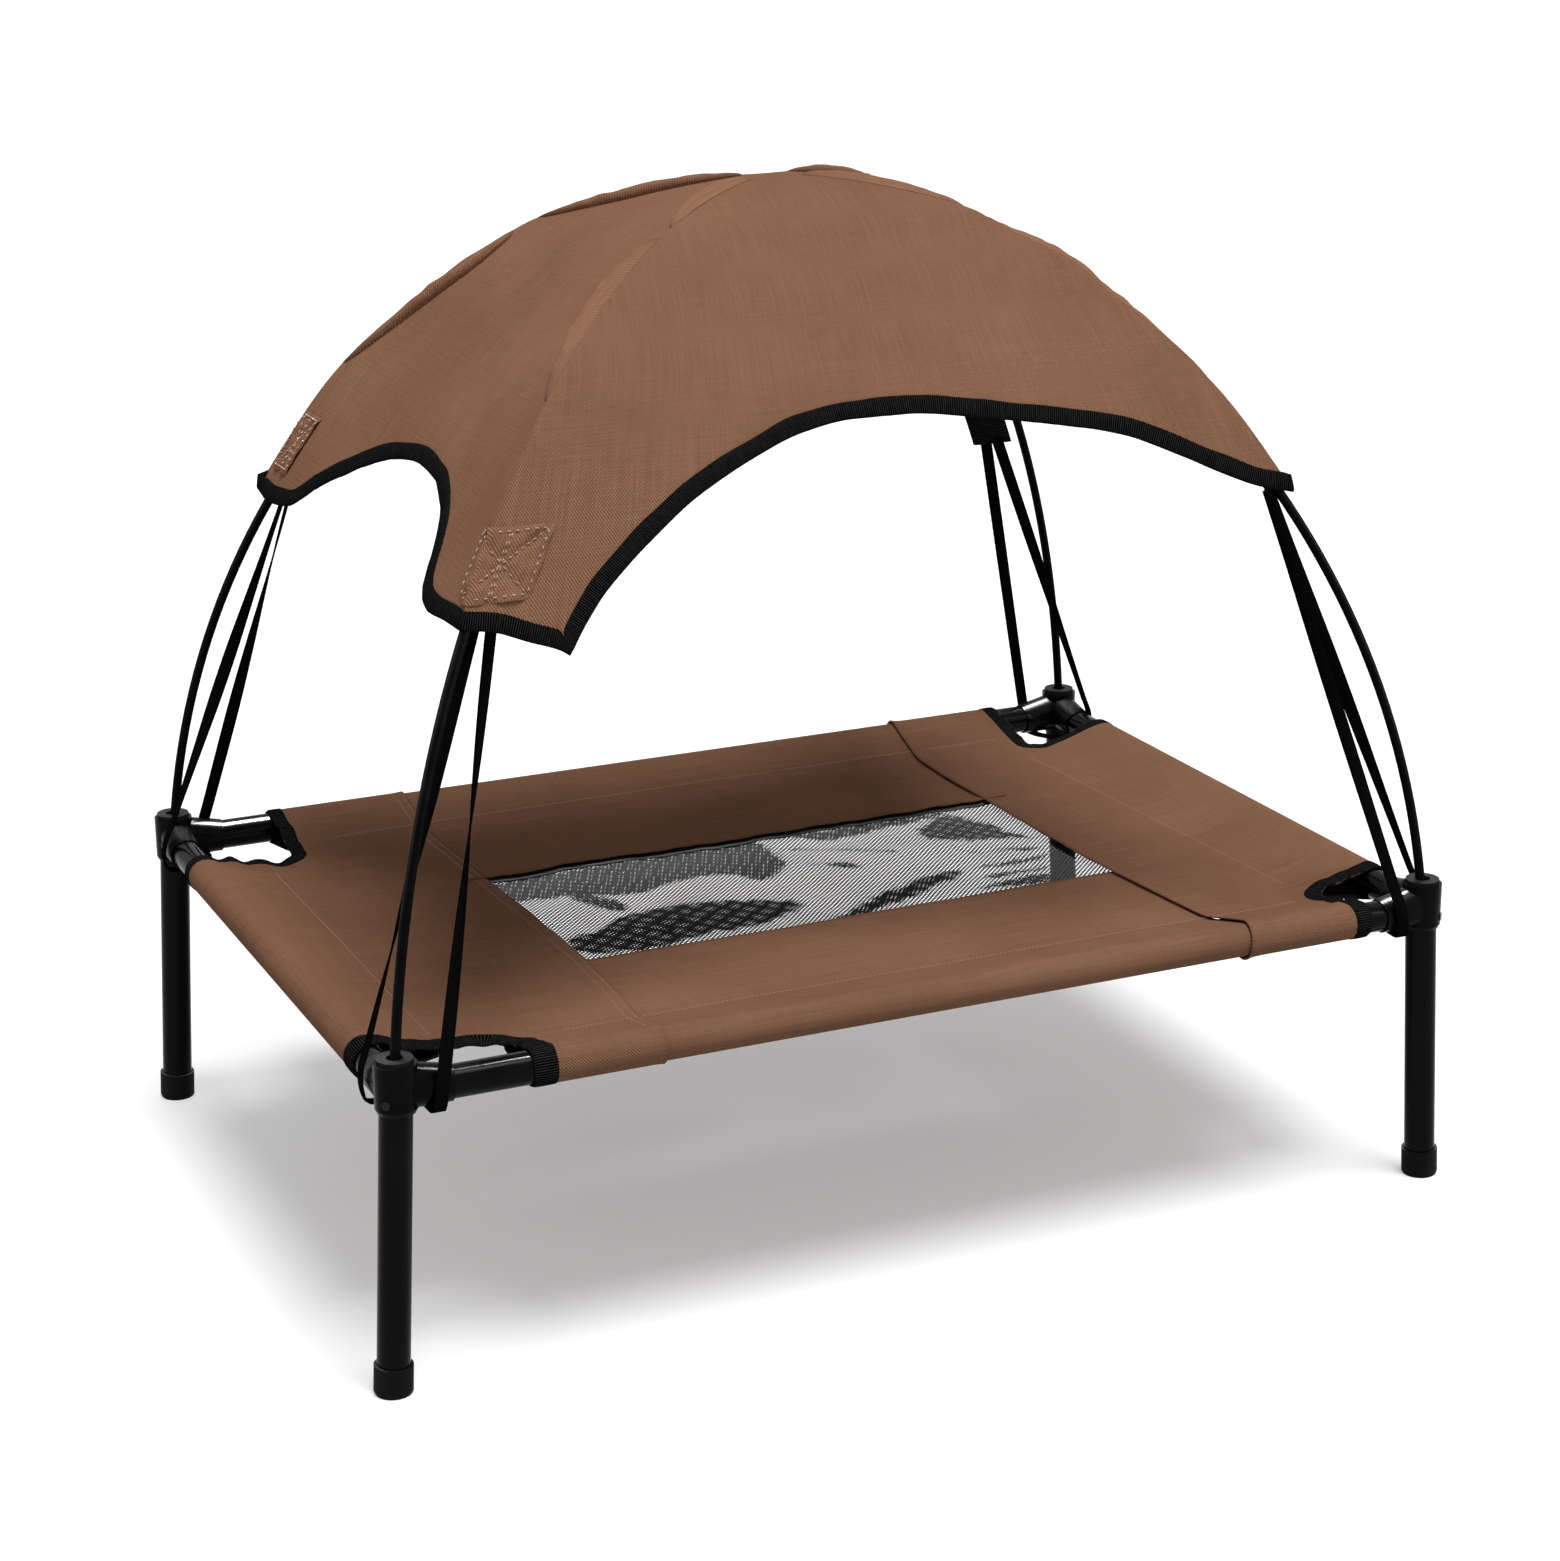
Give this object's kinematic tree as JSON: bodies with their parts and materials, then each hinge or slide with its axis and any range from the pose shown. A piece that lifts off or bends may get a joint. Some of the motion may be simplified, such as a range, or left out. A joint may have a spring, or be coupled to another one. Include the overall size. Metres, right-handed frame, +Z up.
{
  "type": "dog bed with frame",
  "caption": "Raised dog bed: a cloth deck with a mesh window on a tube frame, under an arched sun canopy held by crossing bent poles and elastic straps.",
  "frame": {"origin": "centre of the footprint, on the floor", "axes": "+Z up, +X along the bed's long side, +Y from the front to the back"},
  "size_m": [0.7858, 0.544, 0.6967],
  "materials": {
    "powder_coat": "glossy black powder coat",
    "connector_plastic": "semi-gloss moulded black",
    "ring_plastic": "matte dark grey",
    "foot_rubber": "matte black",
    "button_steel": "black zinc plated",
    "spring_steel": "plain",
    "pole_rod": "semi-gloss black fibreglass",
    "pole_ferrule": "satin black",
    "deck_cloth": "coated plain weave",
    "canopy_cloth": "coated plain weave",
    "patch_cloth": "coated plain weave",
    "ribbed_tape": "ribbed black tape",
    "mesh": "open black mesh",
    "webbing": "black webbing",
    "elastic": "flat woven black elastic"
  },
  "bodies": {
    "frame": {"corner_connector_front_left": "connector_plastic", "pole_socket_front_left": "ring_plastic", "leg_front_left": "powder_coat", "foot_cap_front_left": "foot_rubber", "snap_spring_front_left": "spring_steel", "deck_tape_front_left": "ribbed_tape", "elastic_strap_front_left": "elastic", "corner_connector_front_right": "connector_plastic", "pole_socket_front_right": "ring_plastic", "leg_front_right": "powder_coat", "foot_cap_front_right": "foot_rubber", "snap_spring_front_right": "spring_steel", "deck_tape_front_right": "ribbed_tape", "elastic_strap_front_right": "elastic", "corner_connector_back_right": "connector_plastic", "pole_socket_back_right": "ring_plastic", "leg_back_right": "powder_coat", "foot_cap_back_right": "foot_rubber", "snap_spring_back_right": "spring_steel", "deck_tape_back_right": "ribbed_tape", "elastic_strap_back_right": "elastic", "corner_connector_back_left": "connector_plastic", "pole_socket_back_left": "ring_plastic", "leg_back_left": "powder_coat", "foot_cap_back_left": "foot_rubber", "snap_spring_back_left": "spring_steel", "deck_tape_back_left": "ribbed_tape", "elastic_strap_back_left": "elastic", "long_rail_front": "powder_coat", "long_rail_back": "powder_coat", "short_rail_left": "powder_coat", "short_rail_right": "powder_coat", "deck_panel_left": "deck_cloth", "deck_panel_middle": "deck_cloth", "deck_panel_right": "deck_cloth", "mesh_window": "mesh"},
    "canopy": {"pole_sleeve_front_left": "canopy_cloth", "pole_sleeve_front_right": "canopy_cloth", "pole_sleeve_back_right": "canopy_cloth", "pole_sleeve_back_left": "canopy_cloth", "pole_a_front_left_section": "pole_rod", "pole_a_back_right_section": "pole_rod", "pole_a_crown_section": "pole_rod", "pole_b_front_right_section": "pole_rod", "pole_b_back_left_section": "pole_rod", "pole_b_crown_section": "pole_rod", "pole_a_ferrules": "pole_ferrule", "pole_b_ferrules": "pole_ferrule", "canopy_panel_front": "canopy_cloth", "canopy_panel_right": "canopy_cloth", "canopy_panel_back": "canopy_cloth", "canopy_panel_left": "canopy_cloth", "canopy_hem_tape": "ribbed_tape", "canopy_corner_patches": "patch_cloth", "strap_anchors": "webbing"},
    "snap_button_front_left": {"snap_button_front_left": "button_steel"},
    "snap_button_front_right": {"snap_button_front_right": "button_steel"},
    "snap_button_back_right": {"snap_button_back_right": "button_steel"},
    "snap_button_back_left": {"snap_button_back_left": "button_steel"}
  },
  "joints": [
    {"name": "canopy_lift", "type": "slide", "parent": "frame", "child": "canopy", "axis": [0, 0, 1], "range_m": [0, 0.06], "stiffness_N_per_m": 150, "springref_m": -0.03, "deforming": ["elastic_strap_front_left", "elastic_strap_front_right", "elastic_strap_back_right", "elastic_strap_back_left"]},
    {"name": "snap_button_front_left_press", "type": "slide", "parent": "frame", "child": "snap_button_front_left", "axis": [0.7071, 0.7071, 0], "range_m": [0, 0.0036], "stiffness_N_per_m": 400, "springref_m": -0.002},
    {"name": "snap_button_front_right_press", "type": "slide", "parent": "frame", "child": "snap_button_front_right", "axis": [-0.7071, 0.7071, 0], "range_m": [0, 0.0036], "stiffness_N_per_m": 400, "springref_m": -0.002},
    {"name": "snap_button_back_right_press", "type": "slide", "parent": "frame", "child": "snap_button_back_right", "axis": [-0.7071, -0.7071, 0], "range_m": [0, 0.0036], "stiffness_N_per_m": 400, "springref_m": -0.002},
    {"name": "snap_button_back_left_press", "type": "slide", "parent": "frame", "child": "snap_button_back_left", "axis": [0.7071, -0.7071, 0], "range_m": [0, 0.0036], "stiffness_N_per_m": 400, "springref_m": -0.002}
  ]
}
